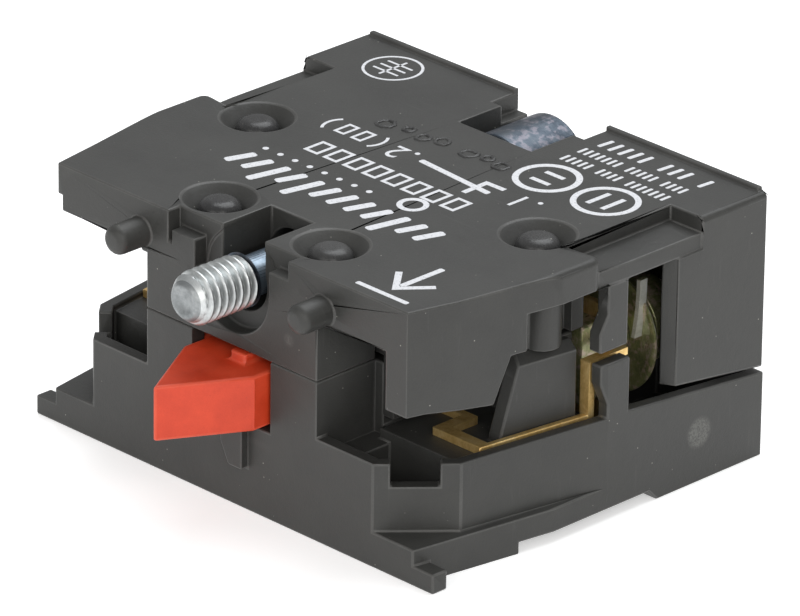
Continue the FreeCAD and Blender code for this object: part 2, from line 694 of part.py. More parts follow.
def build_fixed_contact(side, sign):
    """Bent brass strip: contact tab, legs on the deck, upright and terminal plate."""
    contact = new_piece(f"fixed_contact_{side}")
    slope = "(half_width - shoulder_x) / (side_full_y - shoulder_y)"
    leg = f"shoulder_x - wall - gap + {slope}"
    front = "left_front_leg_y" if sign else "front_leg_y"
    at_front = f"{leg} * ({front} - shoulder_y)"
    at_turn = f"{leg} * ({front} + leg_wide - shoulder_y)"
    at_back = f"{leg} * (upright_y - strip - shoulder_y)"
    legs = [(at_front, front), (at_back, "upright_y"),
            (f"{at_back} - side_leg_wide", "upright_y"),
            (f"{at_turn} - side_leg_wide", f"{front} + leg_wide"),
            ("inner_leg_x + leg_wide", f"{front} + leg_wide"),
            ("inner_leg_x + leg_wide", "tab_y + strip"), ("tab_inner", "tab_y + strip"),
            ("tab_inner", "tab_y"), ("inner_leg_x", "tab_y"), ("inner_leg_x", front)]
    add(contact, "legs", "XY", "deck_z", "deck_z + strip", side_loop(sign, legs))
    tab = rectangle("tab_inner", "tab_outer", "tab_y", "tab_y + strip")
    add(contact, "tab", "XY", "deck_z + 0.5 * strip", "tab_top", side_loop(sign, tab))
    upright = rectangle(f"{at_back} - upright_wide", at_back, "upright_y - strip", "upright_y")
    add(contact, "upright", "XY", "deck_z + 0.5 * strip", "upright_top",
        side_loop(sign, upright))
    arm = rectangle(f"{at_back} - upright_wide", at_back, "upright_y - strip",
                    "terminal_plate_y + strip")
    add(contact, "arm", "XY", "upright_top - strip", "upright_top", side_loop(sign, arm))
    plate = rectangle("terminal_plate_inner", "terminal_plate_outer", "terminal_plate_z",
                      "terminal_plate_top")
    add(contact, "terminal_plate", "XZ", "terminal_plate_y", "terminal_plate_y + strip",
        side_loop(sign, plate))
    link = rectangle("terminal_plate_outer - strip", at_back, "upright_top - strip",
                     "upright_top")
    add(contact, "link", "XZ", "terminal_plate_y", "terminal_plate_y + strip",
        side_loop(sign, link))
    cut(contact, "screw_hole", "XZ", "terminal_plate_y - 1", "terminal_plate_y + strip + 1",
        circles=[(f"{sign}terminal_x", "terminal_z", "terminal_screw + gap")])
    return contact


def build_terminal(side, sign):
    """Nut, clamp plate, lock washer and screw of one terminal."""
    across = f"{sign}terminal_x"
    nut = new_piece(f"terminal_nut_{side}")
    add(nut, "square", "XZ", "terminal_plate_y - nut_thick", "terminal_plate_y",
        rectangle(f"{across} - nut_half", f"{across} + nut_half", "terminal_z - nut_half",
                  "terminal_z + nut_half"))
    cut(nut, "thread", "XZ", "terminal_plate_y - nut_thick - 1", "terminal_plate_y + 1",
        circles=[(across, "terminal_z", "terminal_screw + gap")])

    clamp = new_piece(f"clamp_plate_{side}")
    add(clamp, "plate", "XZ", "clamp_y", "clamp_y + clamp_thick",
        circles=[(across, "terminal_z", "clamp"), (across, "terminal_z", "terminal_screw + gap")])

    washer = new_piece(f"lock_washer_{side}")
    washer_y = "clamp_y + clamp_thick"
    add(washer, "ring", "XZ", washer_y, f"{washer_y} + washer_thick",
        circles=[(across, "terminal_z", "washer"), (across, "terminal_z", "terminal_screw + gap")])

    screw = new_piece(f"terminal_screw_{side}")
    head_y = "clamp_y + clamp_thick + washer_thick"
    add(screw, "shank", "XZ", "terminal_tip_y", head_y,
        circles=[(across, "terminal_z", "terminal_screw")])
    add(screw, "head", "XZ", head_y, f"{head_y} + terminal_head_thick",
        circles=[(across, "terminal_z", "terminal_head")])
    slot = rectangle(f"{across} - terminal_head - 1", f"{across} + terminal_head + 1",
                     "terminal_z - 0.5 * driver_slot", "terminal_z + 0.5 * driver_slot")
    cut(screw, "slot", "XZ", f"{head_y} + terminal_head_thick - driver_deep",
        f"{head_y} + terminal_head_thick + 1", slot)
    return [nut, clamp, washer, screw]


def build_fixing_screw():
    """Captive M4 screw with a necked shank and a slotted, tapped cheese head."""
    screw = new_piece("fixing_screw")
    add(screw, "thread", "XZ", "-thread_reach", "thread_back_y",
        circles=[(0, "screw_z", "thread")])
    dress(screw, "Chamfer", "thread_tip", "thread_tip",
          circle_at("thread", "-thread_reach", "y"))
    add(screw, "shank", "XZ", "thread_back_y", "head_y", circles=[(0, "screw_z", "shank")])
    add(screw, "head", "XZ", "head_y", "head_back_y", circles=[(0, "screw_z", "head")])
    cut(screw, "slot", "XZ", "head_back_y - driver_deep", "head_back_y + 1",
        rectangle("-head - 1", "head + 1", "screw_z - 0.5 * driver_slot",
                  "screw_z + 0.5 * driver_slot"))
    cut(screw, "tapped_hole", "XZ", "head_back_y - tapped_deep", "head_back_y + 1",
        circles=[(0, "screw_z", "tapped")])
    return screw


def build_all():
    pieces = [build_base(), build_cover(), build_plunger(), build_bridge(), build_fixing_screw()]
    bridge_back = "tab_y + 2 * strip + 2 * tip_thick"
    pieces.append(build_spring("return_spring", "spring_z", "foot_back_y", "trough_back_y",
                               "spring_mean", "spring_wire", "spring_turns"))
    pieces.append(build_spring("contact_spring", "tip_z", bridge_back, "frame_back_y",
                               "bias_mean", "bias_wire", "bias_turns"))
    for side, sign in SIDES.items():
        pieces.append(build_fixed_contact(side, sign))
        pieces.append(build_tip(f"fixed_tip_{side}", sign, "tab_y + strip", "tip"))
        pieces.append(build_tip(f"bridge_tip_{side}", sign, "tab_y + strip + tip_thick", "tip"))
        pieces.extend(build_terminal(side, sign))
    return pieces


def check_document():
    for item in DOC.Objects:
        if {"Invalid", "Error"} & set(item.State):
            raise RuntimeError(f"{item.Name} is {item.State}")


def write(pieces):
    for body in pieces:
        if body.Shape.isNull() or not body.Shape.isValid():
            raise RuntimeError(f"{body.Label} has no valid shape")
    os.makedirs("parts", exist_ok=True)
    for body in pieces:
        body.Shape.exportStep(f"parts/{body.Label}.step")
        print(f"{body.Label}: {body.Shape.Volume:.1f} mm3, {len(body.Shape.Solids)} solid")


PIECES = build_all()
DOC.recompute()
check_document()
write(PIECES)
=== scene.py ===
import json
import math
import random

import bmesh
import bpy
from mathutils import Matrix, Vector


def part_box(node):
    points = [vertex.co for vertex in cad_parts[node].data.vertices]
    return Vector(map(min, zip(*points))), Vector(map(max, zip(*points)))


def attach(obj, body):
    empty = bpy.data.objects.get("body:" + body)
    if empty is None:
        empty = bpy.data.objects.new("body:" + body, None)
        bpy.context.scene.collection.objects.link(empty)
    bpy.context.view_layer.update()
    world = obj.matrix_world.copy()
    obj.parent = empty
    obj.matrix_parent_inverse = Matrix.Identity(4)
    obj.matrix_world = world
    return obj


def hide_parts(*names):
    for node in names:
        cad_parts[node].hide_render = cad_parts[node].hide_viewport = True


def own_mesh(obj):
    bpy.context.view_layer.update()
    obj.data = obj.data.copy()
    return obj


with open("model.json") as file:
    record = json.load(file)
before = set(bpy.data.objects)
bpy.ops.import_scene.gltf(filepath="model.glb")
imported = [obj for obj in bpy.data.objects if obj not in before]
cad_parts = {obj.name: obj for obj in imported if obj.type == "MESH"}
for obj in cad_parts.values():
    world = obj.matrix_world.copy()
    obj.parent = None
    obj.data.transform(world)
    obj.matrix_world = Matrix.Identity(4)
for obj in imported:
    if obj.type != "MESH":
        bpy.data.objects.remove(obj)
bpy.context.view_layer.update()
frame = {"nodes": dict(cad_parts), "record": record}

MM = 0.001
SIDES = ("right", "left")

# places shared by several pieces
FRONT_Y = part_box("base_housing")[0].y
RIDGE = 0.3 * MM
TOP_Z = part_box("cover_housing")[1].z - RIDGE
STAKE_MELT_DEPTH = 1.3 * MM

# moulded edges, in mm, and the angle in degrees above which an edge counts as sharp
SHELL_BEVEL = 0.14
PLUNGER_BEVEL = 0.24
STAMPED_BEVEL = 0.08
NUT_BEVEL = 0.15
WASHER_BEVEL = 0.1
SHARP_ANGLE = 32

# the fixing screw, in mm
PITCH = 0.7
CREST_RADIUS = 1.98
ROOT_RADIUS = 1.56
THREAD_LENGTH = 5.6
THREAD_END_TAPER = 0.4
TIP_RADIUS = 1.24
TIP_LEAD = 1.0
TIP_FACE = 0.3
NECK_RADIUS = 1.5
NECK_LENGTH = 26.0
NECK_MIDDLE = 13.6
CAD_THREAD_END = 1.05

# the wire guard of a terminal clamp, in mm
GUARD_FOOT = 0.45
GUARD_HEIGHT = 4.6
GUARD_REACH = 2.62
GUARD_LEAN = 0.44
GUARD_BOW = 0.12
GUARD_THICK = 0.34
GUARD_FRONT = 0.42
GUARD_BACK = 0.3
GUARD_STEPS = 12

# the camera: its angles, its focal length in mm and its place in metres
CAMERA_AZIMUTH = math.radians(45.08)
CAMERA_ELEVATION = math.radians(24.44)
CAMERA_ROLL = math.radians(0.766)
CAMERA_LENS = 385.65
CAMERA_PLACE = (0.392849, -0.387902, 0.261997)


def at(x, y, z=0.0):
    """A point in mm: x from the middle, y behind the front face, z above the floor."""
    return Vector((x * MM, FRONT_Y + y * MM, z * MM))


# ---------------------------------------------------------------- materials

class Surface:
    """A node material built round one Principled shader, with its textures in object space."""

    def __init__(self, name, **sockets):
        self.material = bpy.data.materials.new(name)
        self.material.use_nodes = True
        self.tree = self.material.node_tree
        self.tree.nodes.clear()
        self.shader = self.add("ShaderNodeBsdfPrincipled")
        output = self.add("ShaderNodeOutputMaterial")
        self.link(self.shader.outputs["BSDF"], output.inputs["Surface"])
        self.place = self.add("ShaderNodeTexCoord").outputs["Object"]
        for socket, value in sockets.items():
            self.shader.inputs[socket.replace("_", " ")].default_value = value

    def add(self, kind, **settings):
        node = self.tree.nodes.new(kind)
        for key, value in settings.items():
            setattr(node, key, value)
        return node

    def link(self, source, target):
        self.tree.links.new(source, target)

    def feed(self, node, socket, value):
        """Put a number or another node's output on a socket."""
        if isinstance(value, bpy.types.NodeSocket):
            self.link(value, node.inputs[socket])
        else:
            node.inputs[socket].default_value = value

    def stretched(self, stretch):
        """Object coordinates scaled by axis, so that a texture draws out along one of them."""
        mapping = self.add("ShaderNodeMapping")
        self.link(self.place, mapping.inputs["Vector"])
        mapping.inputs["Scale"].default_value = stretch
        return mapping.outputs["Vector"]

    def noise(self, per_mm, detail=3.0, rough=0.55, stretch=None, warp=0.0):
        """Cloudy noise with a number of features to the millimetre."""
        node = self.add("ShaderNodeTexNoise")
        self.link(self.stretched(stretch) if stretch else self.place, node.inputs["Vector"])
        node.inputs["Scale"].default_value = per_mm / MM
        node.inputs["Detail"].default_value = detail
        node.inputs["Roughness"].default_value = rough
        node.inputs["Distortion"].default_value = warp
        return node.outputs["Fac"]

    def cells(self, per_mm):
        """Distance from the nearest of many scattered points."""
        node = self.add("ShaderNodeTexVoronoi")
        self.link(self.place, node.inputs["Vector"])
        node.inputs["Scale"].default_value = per_mm / MM
        return node.outputs["Distance"]

    def near(self, place, radius):
        """One within a radius, in mm, of a place, falling to nothing outside it."""
        node = self.add("ShaderNodeVectorMath", operation="DISTANCE")
        self.link(self.place, node.inputs[0])
        node.inputs[1].default_value = place
        fade = self.add("ShaderNodeMapRange", interpolation_type="SMOOTHSTEP")
        self.link(node.outputs["Value"], fade.inputs["Value"])
        fade.inputs["From Min"].default_value = 1.25 * radius * MM
        fade.inputs["From Max"].default_value = 0.75 * radius * MM
        return fade.outputs["Result"]

    def ramp(self, factor, *stops):
        """Colours or grey levels at positions along a factor."""
        node = self.add("ShaderNodeValToRGB")
        self.link(factor, node.inputs["Fac"])
        elements = node.color_ramp.elements
        while len(elements) < len(stops):
            elements.new(0.5)
        for element, (position, colour) in zip(elements, stops):
            element.position = position
            grey = isinstance(colour, float)
            element.color = (colour, colour, colour, 1) if grey else (*colour, 1)
        return node.outputs["Color"]

    def mix(self, factor, first, colour):
        """The first colour, a node's output, turned by a factor into another plain colour."""
        node = self.add("ShaderNodeMix", data_type="RGBA")
        self.link(factor, node.inputs["Factor"])
        self.link(first, node.inputs[6])
        node.inputs[7].default_value = (*colour, 1)
        return node.outputs[2]

    def maths(self, first, second, operation):
        node = self.add("ShaderNodeMath", operation=operation)
        self.link(first, node.inputs[0])
        self.feed(node, 1, second)
        return node.outputs[0]

    def sum(self, first, second):
        return self.maths(first, second, "ADD")

    def times(self, first, second):
        return self.maths(first, second, "MULTIPLY")

    def bump(self, height, depth, strength, over=None):
        """Surface relief of a depth in mm, on top of another relief where one is given."""
        node = self.add("ShaderNodeBump")
        node.inputs["Distance"].default_value = depth * MM
        node.inputs["Strength"].default_value = strength
        self.link(height, node.inputs["Height"])
        if over is not None:
            self.link(over, node.inputs["Normal"])
        return node.outputs["Normal"]

    def finish(self, colour, roughness=None, normal=None):
        """The material, with its textures joined to the shader."""
        for socket, source in (("Base Color", colour), ("Roughness", roughness),
                               ("Normal", normal)):
            if source is not None:
                self.link(source, self.shader.inputs[socket])
        return self.material


def moulded(name, dark, light, gloss, dust=1.0, marks=()):
    """Charcoal glass-filled plastic: cloudy tone, fine grain, pale dust specks, faint scuffs.

    Marks are paler flow marks: a place, a radius, both in mm, and a strength."""
    skin = Surface(name, Specular_IOR_Level=0.36)
    clouds = skin.noise(0.16, 4, 0.6)
    grain = skin.noise(7.0, 3, 0.65)
    tone = skin.sum(clouds, skin.times(grain, 0.45))
    colour = skin.ramp(tone, (0.42, dark), (0.95, light))
    speck = skin.ramp(skin.cells(1.3), (0.045, 1.0), (0.075, 0.0))
    chosen = skin.ramp(skin.noise(0.45, 2), (0.52, 0.0), (0.60, dust))
    colour = skin.mix(skin.times(speck, chosen), colour, (0.30, 0.29, 0.26))
    scuff = skin.noise(0.5, 2, 0.5, stretch=(0.35, 6.0, 0.6), warp=0.6)
    scuffs = skin.ramp(scuff, (0.66, 0.0), (0.76, 0.07 * dust))
    colour = skin.mix(scuffs, colour, (0.16, 0.16, 0.15))
    for place, radius, strength in marks:
        blot = skin.times(skin.near(at(*place), radius),
                          skin.ramp(grain, (0.4, 0.2), (0.6, strength)))
        colour = skin.mix(blot, colour, (0.13, 0.13, 0.12))
    roughness = skin.ramp(skin.times(clouds, grain), (0.15, gloss), (0.45, gloss + 0.14))
    normal = skin.bump(grain, 0.03, 0.5)
    normal = skin.bump(skin.noise(1.6, 3), 0.05, 0.35, over=normal)
    return skin.finish(colour, roughness, normal)


def red_plastic(name, deep, bright):
    """Orange-red plastic with a little light inside it, cloudy tone and sparse dark pits."""
    skin = Surface(name, Specular_IOR_Level=0.45, Subsurface_Weight=0.06,
                   Subsurface_Radius=(0.8 * MM, 0.25 * MM, 0.1 * MM))
    clouds = skin.noise(0.35, 4, 0.6)
    grain = skin.noise(9.0, 2, 0.6)
    tone = skin.sum(clouds, skin.times(grain, 0.25))
    colour = skin.ramp(tone, (0.4, deep), (0.85, bright))
    pit = skin.ramp(skin.cells(1.7), (0.03, 1.0), (0.07, 0.0))
    sparse = skin.ramp(skin.noise(0.8, 1), (0.6, 0.0), (0.64, 0.7))
    colour = skin.mix(skin.times(pit, sparse), colour, (0.30, 0.03, 0.015))
    roughness = skin.ramp(clouds, (0.3, 0.38), (0.7, 0.5))
    normal = skin.bump(grain, 0.02, 0.4)
    normal = skin.bump(skin.noise(1.1, 3), 0.05, 0.3, over=normal)
    return skin.finish(colour, roughness, normal)


def plated(name, dark, mid, light, gloss, grain_axis=(1, 1, 1), stain=None, metal=1.0):
    """Plated steel or brass: fine drawing lines, cloudy plating and slight tarnish."""
    skin = Surface(name, Metallic=metal)
    clouds = skin.noise(0.8, 4, 0.65, warp=0.4)
    lines = skin.noise(3.0, 3, 0.6, stretch=grain_axis)
    tone = skin.sum(skin.times(clouds, 0.7), skin.times(lines, 0.3))
    colour = skin.ramp(tone, (0.35, dark), (0.5, mid), (0.68, light))
    if stain is not None:
        patches = skin.ramp(skin.noise(1.7, 3), (0.5, 0.0), (0.62, 0.55))
        colour = skin.mix(patches, colour, stain)
    roughness = skin.ramp(tone, (0.35, gloss + 0.14), (0.65, gloss))
    normal = skin.bump(lines, 0.006, 0.5)
    return skin.finish(colour, roughness, normal)


def printed(name):
    """White pad-printed ink, thin enough that the grain below shows through in places."""
    skin = Surface(name, Specular_IOR_Level=0.35)
    thin = skin.noise(5.0, 3, 0.6)
    colour = skin.ramp(thin, (0.30, (0.42, 0.43, 0.45)), (0.44, (0.66, 0.67, 0.70)),
                       (0.7, (0.74, 0.75, 0.78)))
    roughness = skin.ramp(thin, (0.3, 0.62), (0.7, 0.5))
    return skin.finish(colour, roughness, skin.bump(thin, 0.02, 0.5))


FLOW_MARKS = (((20.2, 27.05, 3.86), 1.1, 0.8), ((5.8, 0.0, 14.5), 0.7, 0.5),
              ((-20.2, 27.05, 3.86), 1.1, 0.8), ((0.0, 33.0, 3.4), 1.2, 0.6))
SHELL = moulded("shell", (0.029, 0.029, 0.0275), (0.046, 0.046, 0.043), 0.42,
                marks=FLOW_MARKS)
# a lighter copy of the shell for the bevelled edges: partly edge wear, partly a painted
# highlight along the edges
SHELL_EDGE_WEAR_AND_HIGHLIGHT = moulded("shell_edge_wear_and_highlight", (0.040, 0.040, 0.038), (0.082, 0.081, 0.077), 0.34,
                     dust=0.8)
SHELL_MELT = moulded("shell_melt", (0.020, 0.020, 0.021), (0.052, 0.052, 0.051), 0.24,
                     dust=1.6)
RED = red_plastic("plunger_red", (0.54, 0.038, 0.009), (0.70, 0.066, 0.022))
# a lighter copy of the red for the plunger's bevelled edges: a painted edge highlight
RED_EDGE_HIGHLIGHT = red_plastic("plunger_red_edge_highlight", (0.58, 0.055, 0.018), (0.72, 0.085, 0.036))
ZINC = plated("bright_zinc", (0.44, 0.46, 0.46), (0.55, 0.57, 0.57), (0.66, 0.68, 0.68),
              0.36, (1, 6, 1))
# a darker zinc for the faces at the screw's tip
TIP_ZINC = plated("darker_tip_zinc", (0.22, 0.235, 0.24), (0.29, 0.305, 0.31),
                  (0.38, 0.395, 0.40), 0.42)
BLUE_ZINC = plated("blue_zinc", (0.060, 0.075, 0.095), (0.085, 0.103, 0.126),
                   (0.120, 0.135, 0.150), 0.38, (1, 5, 1), stain=(0.25, 0.23, 0.26))
NECK_ZINC = plated("neck_zinc", (0.15, 0.20, 0.25), (0.21, 0.27, 0.33), (0.30, 0.36, 0.42),
                   0.34, metal=0.75)
YELLOW_ZINC = plated("yellow_zinc", (0.11, 0.12, 0.055), (0.22, 0.23, 0.10),
                     (0.36, 0.35, 0.21), 0.26, (4, 1, 1), stain=(0.55, 0.40, 0.36),
                     metal=0.6)
EDGE_ZINC = plated("sheared_zinc", (0.40, 0.41, 0.36), (0.54, 0.54, 0.48),
                   (0.68, 0.68, 0.63), 0.35, (1, 1, 5), metal=0.6)
BRASS = plated("brass", (0.56, 0.35, 0.11), (0.76, 0.52, 0.20), (0.90, 0.68, 0.32), 0.30,
               (5, 1, 1), metal=0.72)
SILVER = plated("silver", (0.55, 0.54, 0.50), (0.72, 0.71, 0.68), (0.85, 0.84, 0.82), 0.25)
SPRING = plated("spring_steel", (0.30, 0.30, 0.31), (0.48, 0.48, 0.48),
                (0.62, 0.62, 0.61), 0.3)
INK = printed("print_ink")


# ---------------------------------------------------------------- mesh tools

def new_object(name, mesh, body, *materials):
    """An object with its materials, riding on a body."""
    thing = bpy.data.objects.new(name, mesh)
    bpy.context.scene.collection.objects.link(thing)
    for material in materials:
        mesh.materials.append(material)
    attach(thing, body)
    return thing


def to_mesh(name, shape, smooth_below=None):
    """A mesh from a bmesh, shaded smooth where faces meet at less than an angle in degrees."""
    mesh = bpy.data.meshes.new(name)
    bmesh.ops.recalc_face_normals(shape, faces=shape.faces)
    shape.to_mesh(mesh)
    shape.free()
    if smooth_below is not None:
        mesh.shade_smooth()
        mesh.set_sharp_from_angle(angle=math.radians(smooth_below))
    return mesh


def cad_shape(node):
    """The CAD node's solid as a bmesh with its seams closed."""
    shape = bmesh.new()
    shape.from_mesh(frame["nodes"][node].data)
    bmesh.ops.remove_doubles(shape, verts=shape.verts, dist=0.002 * MM)
    return shape


def ring_round_y(shape, centre_x, y, centre_z, radius, around):
    """Vertices in a circle, of a radius in mm, round an axis along Y."""
    return [shape.verts.new((centre_x + radius * MM * math.cos(turn), y,
                             centre_z + radius * MM * math.sin(turn)))
            for turn in [index * math.tau / around for index in range(around)]]


def join_rings(shape, rings, closed=False):
    """Quads from each ring of vertices to the next, and on to the first one if closed."""
    quads = []
    for first, second in zip(rings, rings[1:] + (rings[:1] if closed else [])):
        for index in range(len(first)):
            following = (index + 1) % len(first)
            quads.append(shape.faces.new((first[index], first[following],
                                          second[following], second[index])))
    return quads


def soften(thing, width, segments=2, edge_highlight_slot=-1):
    """Round the sharp edges by a width in mm, and keep the flat faces flat in shade."""
    bevel = thing.modifiers.new("moulded_edges", "BEVEL")
    bevel.width = width * MM
    bevel.segments = segments
    bevel.limit_method = "ANGLE"
    bevel.angle_limit = math.radians(SHARP_ANGLE)
    bevel.use_clamp_overlap = False
    # bevel faces take the lighter edge material, which holds a painted edge highlight
    bevel.material = edge_highlight_slot
    normals = thing.modifiers.new("even_faces", "WEIGHTED_NORMAL")
    normals.keep_sharp = True
    normals.weight = 100


def body_of(node):
    return next(body for body, nodes in frame["record"]["behaviour"]["bodies"].items()
                if node in nodes)


def softened_copy(node, width, material, edge=None, segments=2):
    """A CAD piece with its sharp edges rounded as its tool or mould leaves them."""
    mesh = to_mesh(f"{node}_soft", cad_shape(node), smooth_below=SHARP_ANGLE)
    mesh.materials.clear()
    thing = new_object(f"{node}_soft", mesh, body_of(node), material, *([edge] if edge else []))
    soften(thing, width, segments, 1 if edge else -1)
    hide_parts(node)
    return thing


# ---------------------------------------------------------------- screw

def thread_radius(turn, along):
    """Radius of the thread at a share of a turn and a distance behind the tip, in mm."""
    phase = (along / PITCH - turn) % 1.0
    rise = 0.5 - 0.5 * math.cos(2 * math.pi * phase)
    ridge = min(1.0, max(0.0, rise * 1.25 - 0.08)) ** 0.8
    radius = ROOT_RADIUS + (CREST_RADIUS - ROOT_RADIUS) * ridge
    lead = TIP_RADIUS + 0.76 * min(1.0, along / TIP_LEAD) ** 0.8
    taper = along - THREAD_LENGTH + THREAD_END_TAPER
    if taper > 0:
        lead = min(lead, CREST_RADIUS - taper * 1.1)
    return min(radius, lead)


def build_thread(node):
    """The visible thread of the fixing screw, with a rounded, slightly dished tip."""
    low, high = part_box(node)
    axis_x = (low.x + high.x) / 2
    axis_z = (low.z + high.z) / 2
    around, step, first_ring = 96, 0.05, 0.04
    shape = bmesh.new()
    rings = []
    for along in [index * step for index in range(int(THREAD_LENGTH / step) + 1)]:
        ring = []
        for turn in [index / around for index in range(around)]:
            radius = thread_radius(turn, along) * MM
            ring.append(shape.verts.new((axis_x + radius * math.cos(turn * math.tau),
                                         low.y + (first_ring + along) * MM,
                                         axis_z + radius * math.sin(turn * math.tau))))
        rings.append(ring)
    dish = ((1.16, 0.0), (1.02, 0.0), (0.9, 0.05), (0.6, 0.16), (0.3, 0.21), (0.1, 0.22))
    for radius, along in dish:
        rings.insert(0, ring_round_y(shape, axis_x, low.y + along * MM, axis_z, radius,
                                     around))
    join_rings(shape, rings)
    shape.faces.new(rings[0])
    shape.faces.new(rings[-1])
    mesh = to_mesh("screw_thread", shape, smooth_below=50)
    thread = new_object("screw_thread", mesh, "fixing_screw", ZINC, TIP_ZINC)
    for face in mesh.polygons:
        face.material_index = int(face.center.y < low.y + TIP_FACE * MM)
    return thread


def build_screw():
    """The fixing screw: the CAD head without its plain thread, a neck and a cut thread."""
    node = "fixing_screw"
    low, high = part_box(node)
    shape = cad_shape(node)
    thread_end = FRONT_Y + CAD_THREAD_END * MM
    loose = [vert for vert in shape.verts if vert.co.y < thread_end]
    bmesh.ops.delete(shape, geom=loose, context="VERTS")
    mesh = to_mesh("screw_head", shape, smooth_below=SHARP_ANGLE)
    mesh.materials.clear()
    head = new_object("screw_head", mesh, node, BLUE_ZINC)
    soften(head, 0.18, 3)

    neck = bmesh.new()
    middle = Vector(((low.x + high.x) / 2, FRONT_Y + NECK_MIDDLE * MM, (low.z + high.z) / 2))
    bmesh.ops.create_cone(neck, cap_ends=True, segments=48, radius1=NECK_RADIUS * MM,
                          radius2=NECK_RADIUS * MM, depth=NECK_LENGTH * MM,
                          matrix=Matrix.Translation(middle)
                          @ Matrix.Rotation(math.pi / 2, 4, "X"))
    rims = [edge for edge in neck.edges if edge.calc_face_angle(0) > 1]
    bmesh.ops.bevel(neck, geom=rims, offset=0.1 * MM, segments=2, affect="EDGES")
    rod = new_object("screw_shank", to_mesh("screw_shank", neck, smooth_below=SHARP_ANGLE),
                     node, NECK_ZINC)
    thread = build_thread(node)
    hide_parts(node)


# ---------------------------------------------------------------- return spring

def build_return_spring():
    """The coil behind the plunger, with its rear end fixed: a copy of the CAD coil on the
    housing.
    """
    node, joint = "return_spring", "plunger_slide"
    mesh = to_mesh("return_spring_coil", cad_shape(node), smooth_below=40)
    mesh.materials.clear()
    coil = new_object("return_spring_coil", mesh, body_of("base_housing"), SPRING)
    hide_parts(node)
    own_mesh(coil)


# ---------------------------------------------------------------- terminal clamps

def build_clamp(node):
    """A saucer that cups towards the wire, with a wire guard standing on its outer side."""
    low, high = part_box(node)
    centre_x, centre_z = (low.x + high.x) / 2, (low.z + high.z) / 2
    outward = math.copysign(1.0, centre_x)
    shape = bmesh.new()
    # the saucer's section: radius and distance behind its front, in mm
    section = ((1.82, 0.32), (2.9, 0.32), (3.6, 0.2), (4.15, 0.04), (4.42, 0.0),
               (4.56, 0.06), (4.6, 0.18), (4.5, 0.32), (4.2, 0.42), (3.6, 0.62),
               (2.9, 0.78), (1.82, 0.78))
    rings = [ring_round_y(shape, centre_x, low.y + along * MM, centre_z, radius, 72)
             for radius, along in section]
    join_rings(shape, rings, closed=True)
    guard = []
    for share in [index / GUARD_STEPS for index in range(GUARD_STEPS + 1)]:
        height = centre_z + (GUARD_FOOT + GUARD_HEIGHT * share) * MM
        bow = GUARD_BOW * math.sin(math.pi * share)
        inner = centre_x + outward * (GUARD_REACH + GUARD_LEAN * share + bow) * MM
        outer = inner + outward * GUARD_THICK * MM
        front, back = low.y - GUARD_FRONT * MM, low.y + GUARD_BACK * MM
        guard.append([shape.verts.new((x, y, height)) for x, y in (
            (inner, front), (outer, front), (outer, back), (inner, back))])
    shape.faces.new(guard[0])
    shape.faces.new(guard[-1])
    for face in join_rings(shape, guard):
        face.material_index = 1
    name = f"{node}_cupped"
    thing = new_object(name, to_mesh(name, shape, smooth_below=40), body_of(node),
                       YELLOW_ZINC, EDGE_ZINC)
    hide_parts(node)


# ---------------------------------------------------------------- print on the top plate

